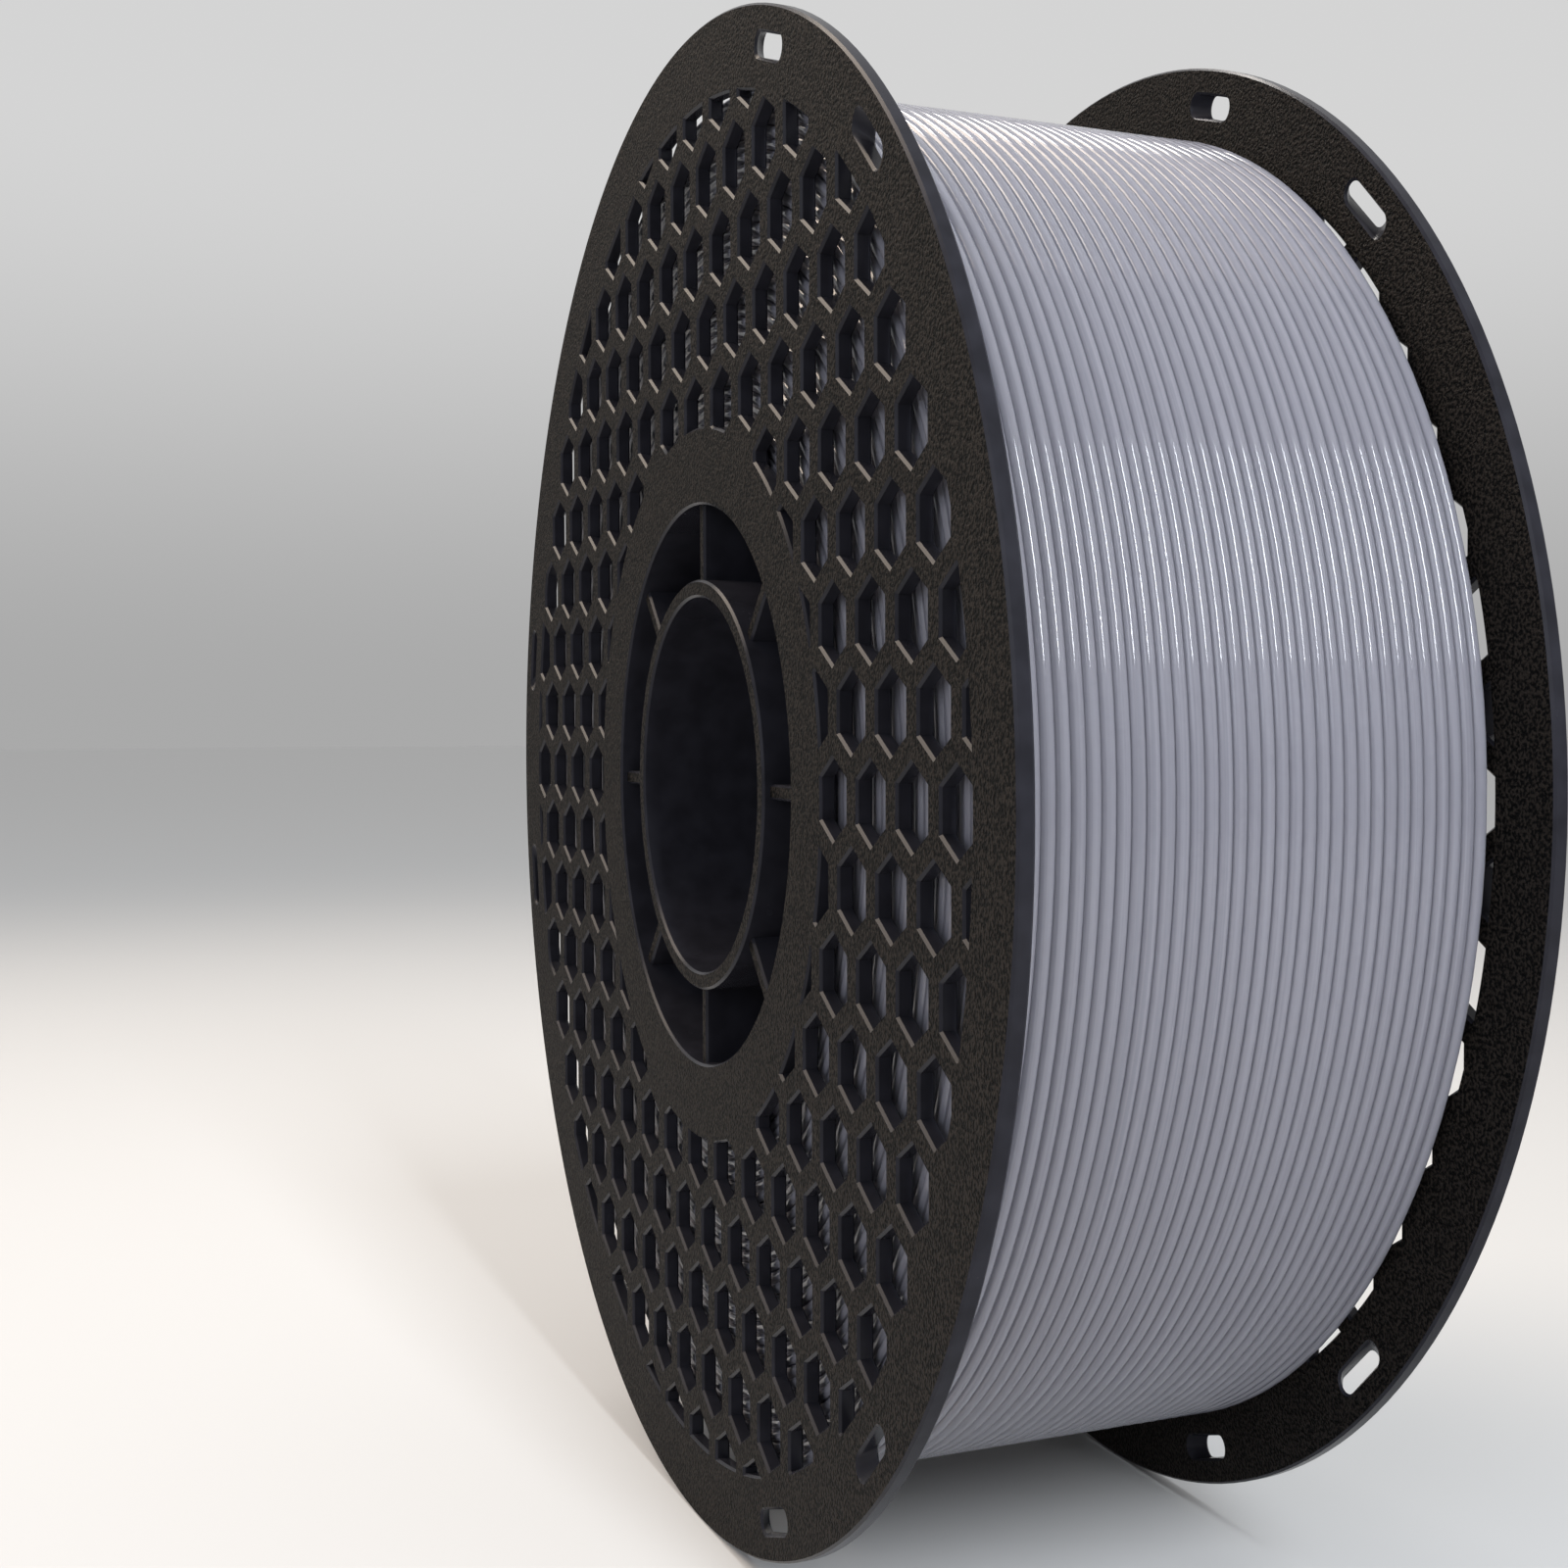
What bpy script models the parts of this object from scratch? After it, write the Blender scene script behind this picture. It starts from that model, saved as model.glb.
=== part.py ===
"""Filament spool, wound full: two alike half mouldings that meet at the middle, and the winding.

Metres, +Z up. The spool's axis is Y and its centre is the origin. It stands on its two rims, and the
near half is the one at -Y. Each half is a thin honeycomb flange, a drum that the filament lies on, a
bore tube for the holder's spindle, and eight ribs between them, each of them a solid of its own.
"""

from math import atan2, ceil, copysign, cos, degrees, pi, radians, sin, sqrt, tau

import bmesh
import bpy
from mathutils import Matrix, Vector

# Flanges
FLANGE_RADIUS = 0.100
WIDTH = 0.065  # over both outer faces
FLANGE_THICK = 0.0020
RIM_FACETS = 72  # one of them lies flat at the bottom, and the spool stands on it
OPENING_FACETS = 48

# Honeycomb in each flange, with its rows along X
CELL_PITCH = 0.01148
CELL_ACROSS_FLATS = 0.0082
HONEYCOMB_INNER = 0.0477
HONEYCOMB_OUTER = 0.0897
LEAST_CELL_AREA = 2.5e-6
ARC_STEP = 0.0022

# Slots near the rim, where the filament's end is threaded: a pair at each of three places
SLOT_RADIUS = 0.0951
SLOT_LENGTH = 0.0100
SLOT_WIDTH = 0.0030
SLOT_PAIR_ANGLES = (60, 180, 300)
OUTER_SLOT_SPREAD = 11.25  # degrees from a pair's middle to each of its slots, at the outer face
INNER_SLOT_SPREAD = 12.70  # and at the inner face, because the slots lean
SLOT_END_STEPS = 5

# Hub
DRUM_INNER = 0.0375
DRUM_OUTER = 0.0400
TUBE_INNER = 0.0252
TUBE_OUTER = 0.0275
RIB_COUNT = 8
RIB_THICK = 0.0019
RIB_RECESS = 0.0010  # below the flange's outer face
HUB_FACETS = 64

# Winding: one continuous filament, whose outside is a turned ring
TURN_PITCH = 0.001705
TURNS = 35
WINDING_OUTER = 0.0905
WINDING_FACETS = 96

GAP = 0.0003  # between neighbouring solids


def clear_scene():
    for obj in list(bpy.data.objects):
        bpy.data.objects.remove(obj)


def plastic(name, colour, roughness):
    material = bpy.data.materials.new(name)
    material.use_nodes = True
    shader = material.node_tree.nodes["Principled BSDF"]
    shader.inputs["Base Color"].default_value = (*colour, 1)
    shader.inputs["Roughness"].default_value = roughness
    material.diffuse_color = (*colour, 1)
    return material


def polar(radius, angle):
    return Vector((radius * cos(angle), radius * sin(angle)))


def facets_around(radius, count):
    """A regular polygon with its flats at the stated radius, and one flat facing down."""
    half = pi / count
    return [polar(radius / cos(half), half + i * tau / count) for i in range(count)]


def crossings(a, b, radius):
    """Where the line from a to b crosses the circle, as fractions of the way."""
    along = b - a
    p = a.dot(along) / along.length_squared
    q = (a.length_squared - radius**2) / along.length_squared
    root = p * p - q
    if root <= 0:
        return []
    return [t for t in (-p - sqrt(root), -p + sqrt(root)) if 0 < t < 1]


def arc_between(start, end, radius):
    """The points between start and end on the circle, the short way round."""
    turn = start.angle_signed(end)
    steps = ceil(abs(turn) * radius / ARC_STEP)
    return [Matrix.Rotation(-turn * i / steps, 2) @ start for i in range(1, steps)]


def clipped(outline, radius, keep_inside):
    """The part of a convex outline inside the circle, or outside it, with an arc along the cut."""

    def kept(point):
        return (point.length < radius) == keep_inside

    points = []
    for a, b in zip(outline, outline[1:] + outline[:1]):
        if kept(a):
            points.append((a, False))
        for t in crossings(a, b, radius):
            leaves = not kept(a.lerp(b, t + 0.001))
            points.append((a.lerp(b, t), leaves))
    result = []
    for (point, leaves), (after, _) in zip(points, points[1:] + points[:1]):
        result.append(point)
        if leaves:
            result += arc_between(point, after, radius)
    return result


def area(outline):
    pairs = zip(outline, outline[1:] + outline[:1])
    return abs(sum(a.x * b.y - b.x * a.y for a, b in pairs)) / 2


def honeycomb_cells():
    """The outlines of the cells, cut off where the solid rings begin."""
    corner = CELL_ACROSS_FLATS / sqrt(3)
    row_pitch = CELL_PITCH * sqrt(3) / 2
    rows = ceil(HONEYCOMB_OUTER / row_pitch)
    columns = ceil(HONEYCOMB_OUTER / CELL_PITCH)
    cells = []
    for row in range(-rows, rows + 1):
        offset = 0.5 if row % 2 == 0 else 0.0
        for column in range(-columns - 1, columns + 1):
            centre = Vector(((column + offset) * CELL_PITCH, row * row_pitch))
            if not HONEYCOMB_INNER - corner < centre.length < HONEYCOMB_OUTER + corner:
                continue
            outline = [centre + polar(corner, pi / 6 + i * pi / 3) for i in range(6)]
            for radius, keep_inside in ((HONEYCOMB_OUTER, True), (HONEYCOMB_INNER, False)):
                outline = clipped(outline, radius, keep_inside)
            if len(outline) > 2 and area(outline) > LEAST_CELL_AREA:
                cells.append(outline)
    return cells


def slot_outline(angle):
    """An obround hole that follows the rim."""
    reach = SLOT_LENGTH / 2 - SLOT_WIDTH / 2
    points = []
    for end, start in ((reach, 0), (-reach, pi)):
        for i in range(SLOT_END_STEPS + 1):
            around = start + pi * i / SLOT_END_STEPS
            points.append(Vector((SLOT_RADIUS, end)) + polar(SLOT_WIDTH / 2, around))
    return [Matrix.Rotation(angle, 2) @ point for point in points]


def slots(spread):
    angles = [middle + way * spread for middle in SLOT_PAIR_ANGLES for way in (-1, 1)]
    return [slot_outline(radians(angle)) for angle in angles]


def drawn_plate(spread):
    """The mesh of a plate, drawn as its outlines in XY and extruded to its thickness."""
    outlines = [facets_around(FLANGE_RADIUS, RIM_FACETS), facets_around(DRUM_INNER, OPENING_FACETS)]
    outlines += honeycomb_cells() + slots(spread)
    curve = bpy.data.curves.new("plate", "CURVE")
    curve.dimensions = "2D"
    curve.fill_mode = "BOTH"
    curve.extrude = FLANGE_THICK / 2
    for outline in outlines:
        spline = curve.splines.new("POLY")
        spline.points.add(len(outline) - 1)
        for point, place in zip(spline.points, outline):
            point.co = (place.x, place.y, 0, 1)
        spline.use_cyclic_u = True
    plate = bpy.data.objects.new("plate", curve)
    mesh = bpy.data.meshes.new_from_object(plate)
    bpy.data.objects.remove(plate)
    return mesh


def keep_faces(mesh, wanted):
    shape = bmesh.new()
    shape.from_mesh(mesh)
    faces = [face for face in shape.faces if not wanted(face)]
    bmesh.ops.delete(shape, geom=faces, context="FACES")
    shape.to_mesh(mesh)
    shape.free()


def lean(point, turn):
    """Turns a slot's point away from the middle of its pair, or towards it where turn is negative."""
    angle = degrees(atan2(point.y, point.x)) % 360
    middle = min(SLOT_PAIR_ANGLES, key=lambda pair: abs(angle - pair))
    return Matrix.Rotation(radians(turn * copysign(1, angle - middle)), 2) @ point.xy


def flange(name, side, material):
    """A flat plate whose slots lean: it takes its outer face from one drawing, the rest from another."""

    def is_outer(vertex):
        return vertex.co.z * side < 0

    front = drawn_plate(OUTER_SLOT_SPREAD)
    back = drawn_plate(INNER_SLOT_SPREAD)
    keep_faces(front, lambda face: all(map(is_outer, face.verts)))
    keep_faces(back, lambda face: not all(map(is_outer, face.verts)))
    for vertex in back.vertices:
        if is_outer(vertex) and abs(vertex.co.xy.length - SLOT_RADIUS) < SLOT_WIDTH:
            vertex.co.xy = lean(vertex.co, OUTER_SLOT_SPREAD - INNER_SLOT_SPREAD)
    shape = bmesh.new()
    shape.from_mesh(front)
    shape.from_mesh(back)
    bmesh.ops.remove_doubles(shape, verts=shape.verts, dist=1e-6)
    bmesh.ops.recalc_face_normals(shape, faces=shape.faces)
    shape.to_mesh(back)
    shape.free()
    bpy.data.meshes.remove(front)
    plate = bpy.data.objects.new(name, back)
    plate.rotation_euler.x = radians(90)
    plate.location.y = side * (WIDTH - FLANGE_THICK) / 2
    back.name = name
    back.materials.append(material)
    bpy.context.collection.objects.link(plate)


def ring(name, inner, outer, start, end, facets, material):
    """A turned ring round Y, from y = start to y = end."""
    sections = [(outer, start), (outer, end), (inner, end), (inner, start)]
    corners = [facets_around(radius, facets) for radius, _ in sections]
    vertices = [
        (corners[k][i].x, sections[k][1], corners[k][i].y) for i in range(facets) for k in range(4)
    ]
    faces = []
    for i in range(facets):
        here = 4 * i
        there = 4 * ((i + 1) % facets)
        for k in range(4):
            after = (k + 1) % 4
            faces.append((here + k, here + after, there + after, there + k))
    mesh = bpy.data.meshes.new(name)
    mesh.from_pydata(vertices, [], faces)
    mesh.materials.append(material)
    mesh.shade_smooth()
    mesh.set_sharp_from_angle(angle=radians(40))
    bpy.context.collection.objects.link(bpy.data.objects.new(name, mesh))


def rib(name, angle, side, material):
    """A web from the bore tube to the drum, with its nose inside the flange's opening."""
    inner = TUBE_OUTER + GAP
    outer = DRUM_INNER - GAP
    nose = WIDTH / 2 - RIB_RECESS
    root = GAP / 2
    middle = polar((inner + outer) / 2, angle)
    bpy.ops.mesh.primitive_cube_add(
        size=1,
        location=(middle.x, side * (nose + root) / 2, middle.y),
        rotation=(0, -angle, 0),
        scale=(outer - inner, nose - root, RIB_THICK),
    )
    web = bpy.context.object
    web.name = name
    web.data.materials.append(material)


def half(name, side, material):
    """One half moulding: its flange, drum, bore tube and ribs."""
    flange(name + "_flange", side, material)
    start, end = sorted((side * GAP / 2, side * (WIDTH / 2 - FLANGE_THICK - GAP)))
    ring(name + "_drum", DRUM_INNER, DRUM_OUTER, start, end, HUB_FACETS, material)
    start, end = sorted((side * GAP / 2, side * WIDTH / 2))
    ring(name + "_bore_tube", TUBE_INNER, TUBE_OUTER, start, end, HUB_FACETS, material)
    for i in range(RIB_COUNT):
        rib(f"{name}_rib_{i + 1}", i * tau / RIB_COUNT, side, material)


def winding(name, material):
    """The outside of the wound filament, a turned ring that fills the drum."""
    reach = TURNS * TURN_PITCH / 2
    ring(name, DRUM_OUTER + GAP, WINDING_OUTER, -reach, reach, WINDING_FACETS, material)


clear_scene()
moulded = plastic("Moulded spool plastic", (0.030, 0.028, 0.026), 0.55)
thread = plastic("Filament plastic", (0.33, 0.33, 0.39), 0.30)
half("near", -1, moulded)
half("far", 1, moulded)
winding("filament", thread)
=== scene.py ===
"""Looks of a 200 mm filament spool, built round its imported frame.

Metres, +Z up, the spool's axis along Y and its centre at the origin. The near half is at -Y.
"""

from math import asin, ceil, cos, pi, radians, sin, sqrt, tau

import bpy
from mathutils import Matrix, Vector


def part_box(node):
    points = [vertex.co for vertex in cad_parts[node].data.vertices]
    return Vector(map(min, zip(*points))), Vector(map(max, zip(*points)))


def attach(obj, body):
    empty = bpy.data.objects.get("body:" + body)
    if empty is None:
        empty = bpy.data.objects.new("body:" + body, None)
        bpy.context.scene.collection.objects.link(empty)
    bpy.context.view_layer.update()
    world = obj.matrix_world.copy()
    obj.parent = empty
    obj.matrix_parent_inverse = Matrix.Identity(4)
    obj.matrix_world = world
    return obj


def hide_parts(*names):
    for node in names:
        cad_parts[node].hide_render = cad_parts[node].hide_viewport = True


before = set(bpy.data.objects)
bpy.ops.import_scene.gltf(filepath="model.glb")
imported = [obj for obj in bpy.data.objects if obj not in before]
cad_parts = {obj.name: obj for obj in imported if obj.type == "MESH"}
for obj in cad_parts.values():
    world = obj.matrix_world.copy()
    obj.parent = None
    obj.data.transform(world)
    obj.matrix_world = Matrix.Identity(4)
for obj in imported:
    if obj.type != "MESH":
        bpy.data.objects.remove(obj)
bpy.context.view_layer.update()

MM = 0.001
WELD = 1e-7
SAME_PLACE = 1e-6
SMOOTH_BELOW = radians(32)
FLAT_TO_AXIS = 0.999
JUST_PAST = 0.001

# Places and sizes that the frame gives
FLANGE_LOW, FLANGE_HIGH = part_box("near_flange")
DRUM_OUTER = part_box("near_drum")[1].x
FLANGE_RADIUS = FLANGE_HIGH.z
OUTER_FACE = -FLANGE_LOW.y
INNER_FACE = -FLANGE_HIGH.y
PLATE_THICK = OUTER_FACE - INNER_FACE
PLATE_MIDDLE = (OUTER_FACE + INNER_FACE) / 2
FLOOR = FLANGE_LOW.z

# The moulding
CHAMFER = 0.3 * MM
ROUND_STEPS = 192
CELL_PITCH = 11.48 * MM
CELL_ACROSS_FLATS = 8.2 * MM
HONEYCOMB_INNER = 47.7 * MM
HONEYCOMB_OUTER = 89.7 * MM
LEAST_CELL_AREA = 2.5 * MM * MM
LEAST_CELL_EDGE = 3.0 * MM
ARC_STEP = 1.0 * MM
SLOT_RADIUS = 95.1 * MM
SLOT_LENGTH = 10.0 * MM
SLOT_WIDTH = 3.0 * MM
SLOT_END_STEPS = 12
SLOT_PAIR_ANGLES = (60, 180, 300)
OUTER_SLOT_SPREAD = 11.25
INNER_SLOT_SPREAD = 12.70
DRUM_INNER = 37.5 * MM
TUBE_INNER = 25.2 * MM
TUBE_OUTER = 27.5 * MM
RIB_COUNT = 8
RIB_THICK = 1.9 * MM
RIB_RECESS = 1.0 * MM
RIB_ROOT = 0.4 * MM

# The wound filament
THREAD = 1.75 * MM
TURN_PITCH = 1.705 * MM
LAYER_PITCH = 1.49 * MM
WINDING_OUTER = 90.5 * MM
TURNS = 35
HELIX_PHASE = 0.38 * MM
CREASE_WIDTH = 0.15 * MM
CREASE_DEPTH = 0.35 * MM
ALTERNATE_SETBACK = 0.22 * MM
STEPS_PER_TURN = 128
END_TURN_STEPS = 6
SIDE_STEPS = 144


# ---------------------------------------------------------------- camera and stage


def add_camera():
    data = bpy.data.cameras.new("Camera")
    data.lens = 49.75
    data.sensor_width = 36
    data.shift_x = -0.15
    data.clip_start = 0.01
    data.clip_end = 50
    camera = bpy.data.objects.new("Camera", data)
    camera.location = (0.28154, -0.11969, 0.01038)
    around, above = radians(64.298), radians(2.016)
    back = Vector((sin(around) * cos(above), -cos(around) * cos(above), sin(above)))
    camera.rotation_euler = back.to_track_quat("Z", "Y").to_euler()
    bpy.context.scene.collection.objects.link(camera)
    bpy.context.scene.camera = camera
    bpy.context.scene.view_settings.view_transform = "Standard"


def add_softbox(name, direction, distance, size, colour, watts):
    """A rectangular lamp that stands off in a direction from the spool and faces it. Its fabric
    grid keeps the light off the floor around."""
    data = bpy.data.lights.new(name, "AREA")
    data.shape = "RECTANGLE"
    data.size, data.size_y = size
    data.energy = watts
    data.color = colour
    data.spread = radians(90)
    lamp = bpy.data.objects.new(name, data)
    away = Vector(direction).normalized()
    lamp.location = away * distance
    lamp.rotation_euler = away.to_track_quat("Z", "Y").to_euler()
    bpy.context.scene.collection.objects.link(lamp)


def add_stage():
    deselect()
    bpy.ops.mesh.primitive_plane_add(size=12, location=(0, 0, FLOOR))
    floor = bpy.context.object
    floor.name = "studio_floor"
    floor.data.materials.append(studio_floor_paint())
    world = bpy.data.worlds.new("Studio")
    world.use_nodes = True
    bpy.context.scene.world = world
    place = node(world, "ShaderNodeTexCoord").outputs["Generated"]
    height = node(world, "ShaderNodeSeparateXYZ", [("Vector", place)]).outputs["Z"]
    sweep = node(world, "ShaderNodeValToRGB", [("Fac", height)])
    sweep.color_ramp.interpolation = "EASE"
    sweep.color_ramp.elements[0].position = 0.0
    sweep.color_ramp.elements[0].color = (0.40, 0.40, 0.40, 1)
    sweep.color_ramp.elements[1].position = 0.25
    sweep.color_ramp.elements[1].color = (0.66, 0.66, 0.66, 1)
    sky = world.node_tree.nodes["Background"]
    world.node_tree.links.new(sweep.outputs["Color"], sky.inputs["Color"])
    sky.inputs["Strength"].default_value = 1.0
    add_softbox("Warm overhead softbox", (-0.46, -0.48, 0.72), 1.3, (0.9, 0.7), (1, 0.84, 0.68), 3.7)
    add_softbox("Warm top softbox", (-0.56, -0.05, 0.83), 1.3, (0.12, 0.25), (1, 0.95, 0.90), 0.5)
    add_softbox("Cool side softbox", (0.82, 0.0, 0.57), 1.3, (0.18, 0.75), (0.92, 0.96, 1), 4.6)
    add_softbox("Cool front softbox", (0.56, -0.78, 0.40), 1.4, (0.8, 0.8), (0.84, 0.89, 1), 1.2)


# ---------------------------------------------------------------- materials


def linear(hex_colour):
    """An sRGB hex colour as the linear RGBA that a shader takes."""
    parts = [int(hex_colour[i : i + 2], 16) / 255 for i in (1, 3, 5)]
    return (*[p / 12.92 if p <= 0.04045 else ((p + 0.055) / 1.055) ** 2.4 for p in parts], 1)


def node(owner, kind, links=(), **settings):
    """Adds a node with its settings, and links its inputs, given as (input, another node's output)."""
    tree = owner.node_tree
    added = tree.nodes.new(kind)
    for name, value in settings.items():
        if name in added.inputs:
            added.inputs[name].default_value = value
        else:
            setattr(added, name, value)
    for name, socket in links:
        tree.links.new(socket, added.inputs[name])
    return added


def shader_of(material):
    return material.node_tree.nodes["Principled BSDF"]


def new_material(name, **finish):
    material = bpy.data.materials.new(name)
    material.use_nodes = True
    for socket, value in finish.items():
        shader_of(material).inputs[socket.replace("_", " ")].default_value = value
    return material


def mottled(material, pattern, low, high, dark, light):
    """The base colour runs between two close hex colours as the pattern goes from low to high."""
    colours = node(material, "ShaderNodeValToRGB", [("Fac", pattern)])
    for stop, position, colour in zip(colours.color_ramp.elements, (low, high), (dark, light)):
        stop.position = position
        stop.color = linear(colour)
    base = shader_of(material).inputs["Base Color"]
    material.node_tree.links.new(colours.outputs["Color"], base)


def embossed(material, pattern, depth):
    bump = node(material, "ShaderNodeBump", [("Height", pattern)], Strength=1.0, Distance=depth)
    material.node_tree.links.new(bump.outputs["Normal"], shader_of(material).inputs["Normal"])


def spark_textured_abs():
    """ABS from a spark-eroded mould face: near black, with a fine even grain and a dull sheen. Its base
    colour is painted shade in the grain's pits and painted light on its ridges.
    """
    material = new_material(
        "Black ABS, spark-eroded mould face", Roughness=0.6, Specular_IOR_Level=0.05
    )
    place = node(material, "ShaderNodeTexCoord").outputs["Object"]
    # Grains 0.4 mm wide, coarser than the 0.25 mm of the real face, so that they show
    grain_with_painted_shade = node(material, "ShaderNodeTexNoise", [("Vector", place)], Scale=2300.0).outputs["Fac"]
    # The base colour follows the grain's height: painted shade in the pits and painted light on the
    # ridges, on top of the bump
    mottled(material, grain_with_painted_shade, 0.44, 0.58, "#060606", "#282421")
    embossed(material, grain_with_painted_shade, 0.5 * MM)
    return material


def satin_abs():
    """The same ABS where the mould was only polished: hole walls, chamfers, rim and hub. It has a
    low sheen, a little uneven where the plastic flowed."""
    material = new_material("Black ABS, satin mould face", Specular_IOR_Level=0.1)
    place = node(material, "ShaderNodeTexCoord").outputs["Object"]
    # Flow marks 4 mm wide
    flow = node(material, "ShaderNodeTexNoise", [("Vector", place)], Scale=250.0).outputs["Fac"]
    mottled(material, flow, 0.35, 0.65, "#1e1e23", "#25252b")
    sheen = node(
        material, "ShaderNodeMapRange", [("Value", flow)], **{"To Min": 0.2, "To Max": 0.3}
    ).outputs["Result"]
    material.node_tree.links.new(sheen, shader_of(material).inputs["Roughness"])
    return material


def extruded_pla():
    """PLA drawn through a round die: a cool grey, glossy thread that lets a little light in, with
    faint drawing lines along it."""
    material = new_material(
        "Grey PLA, extruded thread",
        IOR=1.46,
        Subsurface_Weight=0.6,
        Subsurface_Radius=(1, 1, 1),
        Subsurface_Scale=0.5 * MM,
    )
    place = node(material, "ShaderNodeTexCoord").outputs["Object"]
    axis = node(material, "ShaderNodeSeparateXYZ", [("Vector", place)]).outputs
    flat = node(material, "ShaderNodeCombineXYZ", [("X", axis["X"]), ("Y", axis["Z"])])
    radius = node(
        material, "ShaderNodeVectorMath", [("Vector", flat.outputs["Vector"])], operation="LENGTH"
    ).outputs["Value"]
    across = node(material, "ShaderNodeCombineXYZ", [("X", axis["Y"]), ("Y", radius)])
    # Lines 0.3 mm apart
    lines = node(
        material, "ShaderNodeTexNoise", [("Vector", across.outputs["Vector"])], Scale=3300.0
    ).outputs["Fac"]
    mottled(material, lines, 0.35, 0.65, "#777780", "#7f7f88")
    gloss = node(
        material, "ShaderNodeMapRange", [("Value", lines)], **{"To Min": 0.06, "To Max": 0.12}
    ).outputs["Result"]
    material.node_tree.links.new(gloss, shader_of(material).inputs["Roughness"])
    return material


def studio_floor_paint():
    """Matt pale grey paint on a studio floor."""
    return new_material("Pale grey paint, matt", Base_Color=linear("#c4c4c4"), Roughness=0.9)


# ---------------------------------------------------------------- modelling by hand


def deselect():
    bpy.ops.object.select_all(action="DESELECT")


def activate(piece):
    deselect()
    piece.select_set(True)
    bpy.context.view_layer.objects.active = piece


def settle(piece):
    """Puts the piece's place into its mesh."""
    activate(piece)
    bpy.ops.object.transform_apply(location=True, rotation=True, scale=True)


def tidy_normals(piece):
    activate(piece)
    bpy.ops.object.mode_set(mode="EDIT")
    bpy.ops.mesh.select_all(action="SELECT")
    bpy.ops.mesh.remove_doubles(threshold=WELD)
    bpy.ops.mesh.normals_make_consistent(inside=False)
    bpy.ops.object.mode_set(mode="OBJECT")


def choose(piece, kind, wanted):
    """Selects, in edit mode, the parts of this kind whose corners wanted() picks."""
    activate(piece)
    bpy.ops.object.mode_set(mode="EDIT")
    bpy.ops.mesh.select_mode(type=kind)
    bpy.ops.mesh.select_all(action="DESELECT")
    bpy.ops.object.mode_set(mode="OBJECT")
    mesh = piece.data
    if kind == "VERT":
        for vertex in mesh.vertices:
            vertex.select = wanted(vertex.co)
    else:
        for part in mesh.edges if kind == "EDGE" else mesh.polygons:
            part.select = wanted(*[mesh.vertices[i].co for i in part.vertices])
    bpy.ops.object.mode_set(mode="EDIT")


def turned(name, profile, steps=ROUND_STEPS):
    """Turns a closed profile of (radius, y) corners round the Y axis."""
    deselect()
    bpy.ops.mesh.primitive_circle_add(vertices=len(profile), radius=0.01)
    piece = bpy.context.object
    piece.name = name
    for corner, (radius, y) in zip(piece.data.vertices, profile):
        corner.co = (radius, y, 0)
    screw = piece.modifiers.new("Turn", "SCREW")
    screw.axis = "Y"
    screw.steps = screw.render_steps = steps
    screw.use_merge_vertices = True
    screw.merge_threshold = WELD
    activate(piece)
    bpy.ops.object.modifier_apply(modifier=screw.name)
    tidy_normals(piece)
    return piece


def polar(radius, angle):
    return Vector((radius * cos(angle), radius * sin(angle)))


def circle(radius):
    return [polar(radius, i * tau / ROUND_STEPS) for i in range(ROUND_STEPS)]


def crossings(a, b, radius):
    """Where the line from a to b crosses the circle, as fractions of the way."""
    along = b - a
    p = a.dot(along) / along.length_squared
    q = (a.length_squared - radius**2) / along.length_squared
    root = p * p - q
    if root <= 0:
        return []
    return [t for t in (-p - sqrt(root), -p + sqrt(root)) if 0 < t < 1]


def arc_between(start, end, radius):
    """The points between start and end on the circle, the short way round."""
    turn = start.angle_signed(end)
    steps = ceil(abs(turn) * radius / ARC_STEP)
    return [Matrix.Rotation(-turn * i / steps, 2) @ start for i in range(1, steps)]


def clipped(outline, radius, keep_inside):
    """The part of a convex outline inside the circle, or outside it, with an arc along the cut."""

    def kept(point):
        return (point.length < radius) == keep_inside

    points = []
    for a, b in zip(outline, outline[1:] + outline[:1]):
        if kept(a):
            points.append((a, False))
        for t in crossings(a, b, radius):
            leaves = not kept(a.lerp(b, t + JUST_PAST))
            points.append((a.lerp(b, t), leaves))
    result = []
    for (point, leaves), (after, _) in zip(points, points[1:] + points[:1]):
        result.append(point)
        if leaves:
            result += arc_between(point, after, radius)
    return result


def area(outline):
    pairs = zip(outline, outline[1:] + outline[:1])
    return abs(sum(a.x * b.y - b.x * a.y for a, b in pairs)) / 2


def honeycomb_cells(grown):
    """The outlines of the cells, cut off where the solid rings begin, grown by a chamfer's width."""
    corner = (CELL_ACROSS_FLATS + 2 * grown) / sqrt(3)
    row_pitch = CELL_PITCH * sqrt(3) / 2
    rows = ceil(HONEYCOMB_OUTER / row_pitch)
    columns = ceil(HONEYCOMB_OUTER / CELL_PITCH)
    cells = []
    for row in range(-rows, rows + 1):
        offset = 0.5 if row % 2 == 0 else 0.0
        for column in range(-columns - 1, columns + 1):
            centre = Vector(((column + offset) * CELL_PITCH, row * row_pitch))
            if not HONEYCOMB_INNER - corner < centre.length < HONEYCOMB_OUTER + corner:
                continue
            outline = [centre + polar(corner, pi / 6 + i * pi / 3) for i in range(6)]
            for radius, keep_inside in (
                (HONEYCOMB_OUTER + grown, True),
                (HONEYCOMB_INNER - grown, False),
            ):
                outline = clipped(outline, radius, keep_inside)
            if len(outline) > 2 and area(outline) > LEAST_CELL_AREA + LEAST_CELL_EDGE * grown:
                cells.append(outline)
    return cells


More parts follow.
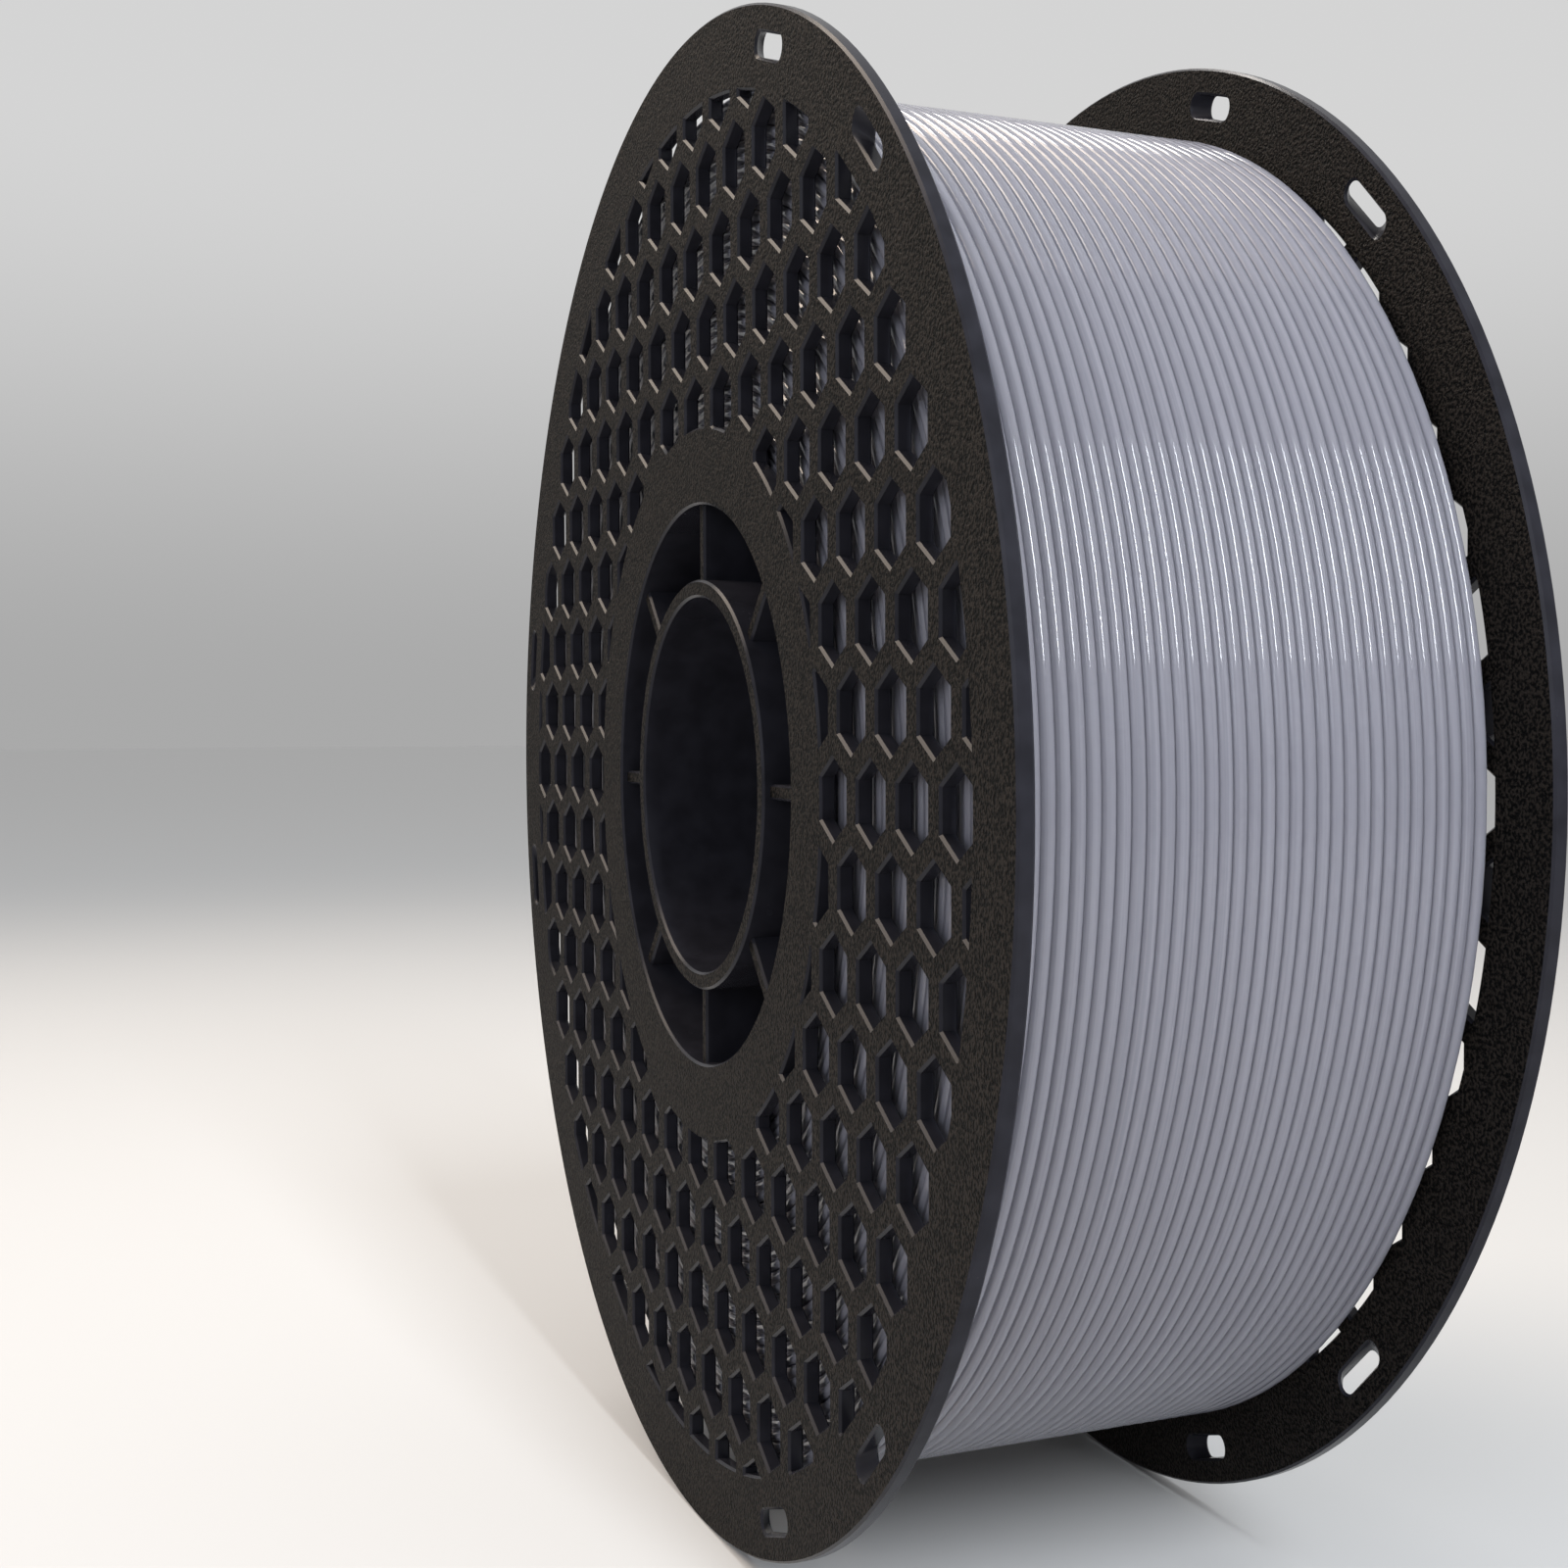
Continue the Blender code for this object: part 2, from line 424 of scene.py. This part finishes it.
def slots(spread, grown):
    """The obround slots by the rim: a pair at each of three places."""
    reach = (SLOT_LENGTH - SLOT_WIDTH) / 2
    outline = []
    for end, start in ((reach, 0), (-reach, pi)):
        for i in range(SLOT_END_STEPS + 1):
            around = polar(SLOT_WIDTH / 2 + grown, start + pi * i / SLOT_END_STEPS)
            outline.append(Vector((SLOT_RADIUS, end)) + around)
    angles = [radians(middle + way * spread) for middle in SLOT_PAIR_ANGLES for way in (-1, 1)]
    return [[Matrix.Rotation(angle, 2) @ point for point in outline] for angle in angles]


def drawn_plate(spread):
    """The near plate drawn flat as its outlines, filled, and given its thickness and its chamfers."""
    curve = bpy.data.curves.new("plate", "CURVE")
    curve.dimensions = "2D"
    curve.fill_mode = "BOTH"
    curve.extrude = PLATE_THICK / 2 - CHAMFER
    curve.bevel_depth = CHAMFER
    curve.bevel_resolution = 0
    outlines = [circle(FLANGE_RADIUS - CHAMFER), circle(DRUM_INNER + CHAMFER)]
    for outline in outlines + honeycomb_cells(CHAMFER) + slots(spread, CHAMFER):
        spline = curve.splines.new("POLY")
        spline.points.add(len(outline) - 1)
        for point, place in zip(spline.points, outline):
            point.co = (place.x, place.y, 0, 1)
        spline.use_cyclic_u = True
    plate = bpy.data.objects.new("plate", curve)
    bpy.context.scene.collection.objects.link(plate)
    activate(plate)
    bpy.ops.object.convert(target="MESH")
    plate.rotation_euler.x = pi / 2
    plate.location.y = -PLATE_MIDDLE
    settle(plate)
    tidy_normals(plate)
    return plate


def from_axis(point):
    return Vector((point.x, point.z))


def is_outer(point):
    return point.y < -PLATE_MIDDLE


def flange_plate():
    """The near flange. Its slots lean, so its outer side is from one drawing, the rest from another."""
    front = drawn_plate(OUTER_SLOT_SPREAD)
    back = drawn_plate(INNER_SLOT_SPREAD)
    choose(front, "FACE", lambda *corners: not all(map(is_outer, corners)))
    bpy.ops.mesh.delete(type="FACE")
    bpy.ops.object.mode_set(mode="OBJECT")
    choose(back, "FACE", lambda *corners: all(map(is_outer, corners)))
    bpy.ops.mesh.delete(type="FACE")
    bpy.ops.object.mode_set(mode="OBJECT")
    for middle in SLOT_PAIR_ANGLES:
        for way in (-1, 1):
            slot = polar(SLOT_RADIUS, radians(middle + way * INNER_SLOT_SPREAD))

            def in_slot(point):
                off_ring = abs(from_axis(point).length - SLOT_RADIUS)
                off_slot = (from_axis(point) - slot).length
                return is_outer(point) and off_ring < SLOT_WIDTH and off_slot < SLOT_LENGTH

            choose(back, "VERT", in_slot)
            lean = radians(way * (INNER_SLOT_SPREAD - OUTER_SLOT_SPREAD))
            bpy.ops.transform.rotate(value=-lean, orient_axis="Y", center_override=(0, 0, 0))
            bpy.ops.object.mode_set(mode="OBJECT")
    activate(back)
    front.select_set(True)
    bpy.ops.object.join()
    activate(back)
    bpy.ops.object.mode_set(mode="EDIT")
    bpy.ops.mesh.select_all(action="SELECT")
    bpy.ops.mesh.remove_doubles(threshold=SAME_PLACE)
    bpy.ops.object.mode_set(mode="OBJECT")
    # Inside, the opening runs straight on into the drum wall
    opening = DRUM_INNER + CHAMFER

    def on_opening(point):
        on_face = abs(point.y + INNER_FACE) < SAME_PLACE
        return on_face and from_axis(point).length < opening + SAME_PLACE

    choose(back, "VERT", on_opening)
    scale = DRUM_INNER / opening
    bpy.ops.transform.resize(value=(scale, 1, scale), center_override=(0, 0, 0))
    bpy.ops.object.mode_set(mode="OBJECT")
    return back


def drum_wall():
    """The near half of the wall that the winding lies on."""
    return turned(
        "drum",
        [
            (DRUM_OUTER, -INNER_FACE),
            (DRUM_OUTER, 0),
            (DRUM_INNER, 0),
            (DRUM_INNER, -INNER_FACE),
        ],
    )


def bore_wall():
    """The near half of the tube that the spindle goes through."""
    shoulder = OUTER_FACE - CHAMFER
    return turned(
        "tube",
        [
            (TUBE_OUTER - CHAMFER, -OUTER_FACE),
            (TUBE_OUTER, -shoulder),
            (TUBE_OUTER, 0),
            (TUBE_INNER, 0),
            (TUBE_INNER, -shoulder),
            (TUBE_INNER + CHAMFER, -OUTER_FACE),
        ],
    )


def hub_rib():
    """A near web from the bore tube to the drum wall, with its nose in the flange's opening."""
    nose = OUTER_FACE - RIB_RECESS
    inner = TUBE_OUTER - RIB_ROOT
    outer = DRUM_INNER + RIB_ROOT
    deselect()
    bpy.ops.mesh.primitive_cube_add(
        size=1,
        location=((inner + outer) / 2, -nose / 2, 0),
        scale=(outer - inner, nose, RIB_THICK),
    )
    web = bpy.context.object
    settle(web)

    def along_nose(a, b):
        return max(a.y, b.y) < SAME_PLACE - nose and abs(a.z - b.z) < SAME_PLACE

    choose(web, "EDGE", along_nose)
    bpy.ops.mesh.bevel(offset=CHAMFER, segments=1, affect="EDGES")
    bpy.ops.object.mode_set(mode="OBJECT")
    return web


def placed(blank, name, node_name, over, around=0.0):
    """A finished copy of a near piece, turned over for the far half and round to its place."""
    piece = blank.copy()
    piece.data = blank.data.copy()
    piece.name = name
    bpy.context.scene.collection.objects.link(piece)
    piece.rotation_euler = (over, around, 0)
    settle(piece)
    finish_moulding(piece, node_name)


def half_mouldings():
    plate, drum, tube, web = flange_plate(), drum_wall(), bore_wall(), hub_rib()
    for half, over in (("near", 0), ("far", pi)):
        placed(plate, half + "_flange_plate", half + "_flange", over)
        placed(drum, half + "_drum_wall", half + "_drum", over)
        placed(tube, half + "_bore_wall", half + "_bore_tube", over)
        for i in range(RIB_COUNT):
            around = -i * tau / RIB_COUNT
            placed(web, f"{half}_hub_rib_{i + 1}", f"{half}_rib_{i + 1}", over, around)
    for blank in (plate, drum, tube, web):
        bpy.data.objects.remove(blank)


def finish_moulding(piece, node_name):
    """The flat faces square to the axis have the mould's grain, and everything else is satin."""
    piece.data.materials.append(GRAINED)
    piece.data.materials.append(SATIN)
    for face in piece.data.polygons:
        face.material_index = 0 if abs(face.normal.y) > FLAT_TO_AXIS else 1
    finish_piece(piece, node_name)


def finish_piece(piece, node_name):
    tidy_normals(piece)
    activate(piece)
    bpy.ops.object.shade_smooth_by_angle(angle=SMOOTH_BELOW)
    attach(piece, "root")
    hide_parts(node_name)


# ---------------------------------------------------------------- the winding


def thread_point(turn):
    """Where the outermost layer's thread runs. Turn 0 to TURNS - 1 is the helix, whose turns press a
    little into each other; before and after it the thread goes down along a flange."""
    last = TURNS - 1
    radius = WINDING_OUTER - THREAD / 2
    half = last * TURN_PITCH / 2
    if turn < 0:
        dip = sqrt(max(0.0, 1 - (1 + turn) ** 2))
    elif turn > last:
        dip = sqrt(max(0.0, 1 - (1 + last - turn) ** 2))
    else:
        dip = 0.0
    radius -= dip * LAYER_PITCH
    y = -half + TURN_PITCH * min(max(turn, 0), last)
    angle = tau * (turn + HELIX_PHASE / TURN_PITCH)
    return radius * cos(angle), y, radius * sin(angle)


def outer_layer(name):
    count = (TURNS + 1) * STEPS_PER_TURN
    curve = bpy.data.curves.new(name, "CURVE")
    curve.dimensions = "3D"
    curve.bevel_depth = THREAD / 2
    curve.bevel_resolution = 6
    curve.use_fill_caps = True
    spline = curve.splines.new("POLY")
    spline.points.add(count)
    for i, point in enumerate(spline.points):
        point.co = (*thread_point(i / STEPS_PER_TURN - 1), 1)
    layer = bpy.data.objects.new(name, curve)
    bpy.context.scene.collection.objects.link(layer)
    activate(layer)
    bpy.ops.object.convert(target="MESH")
    layer.data.materials.append(FILAMENT)
    finish_piece(layer, "filament")


def under_layers(name):
    """The layers below: a body whose two sides show the end turn of each layer, with a crease
    between one turn and the next."""
    half = (TURNS - 1) * TURN_PITCH / 2
    outer = WINDING_OUTER - THREAD / 2 - LAYER_PITCH
    count = int((outer - DRUM_OUTER - THREAD / 2) / LAYER_PITCH) + 1
    side = []
    for layer in range(count):
        centre = outer - layer * LAYER_PITCH
        back = ALTERNATE_SETBACK if layer % 2 else 0.0
        spread = asin((LAYER_PITCH - CREASE_WIDTH) / THREAD)
        for i in range(END_TURN_STEPS + 1):
            turn = spread * (1 - 2 * i / END_TURN_STEPS)
            side.append((centre + THREAD / 2 * sin(turn), half - back + THREAD / 2 * cos(turn)))
        if layer < count - 1:
            valley = half - back + THREAD / 2 * cos(spread) - CREASE_DEPTH
            side.append((centre - LAYER_PITCH / 2, valley))
    profile = side + [(radius, -y) for radius, y in reversed(side)]
    body = turned(name, profile, SIDE_STEPS)
    body.data.materials.append(FILAMENT)
    finish_piece(body, "filament")


add_camera()
GRAINED = spark_textured_abs()
SATIN = satin_abs()
FILAMENT = extruded_pla()
add_stage()

half_mouldings()
outer_layer("filament_outer_layer")
under_layers("filament_under_layers")
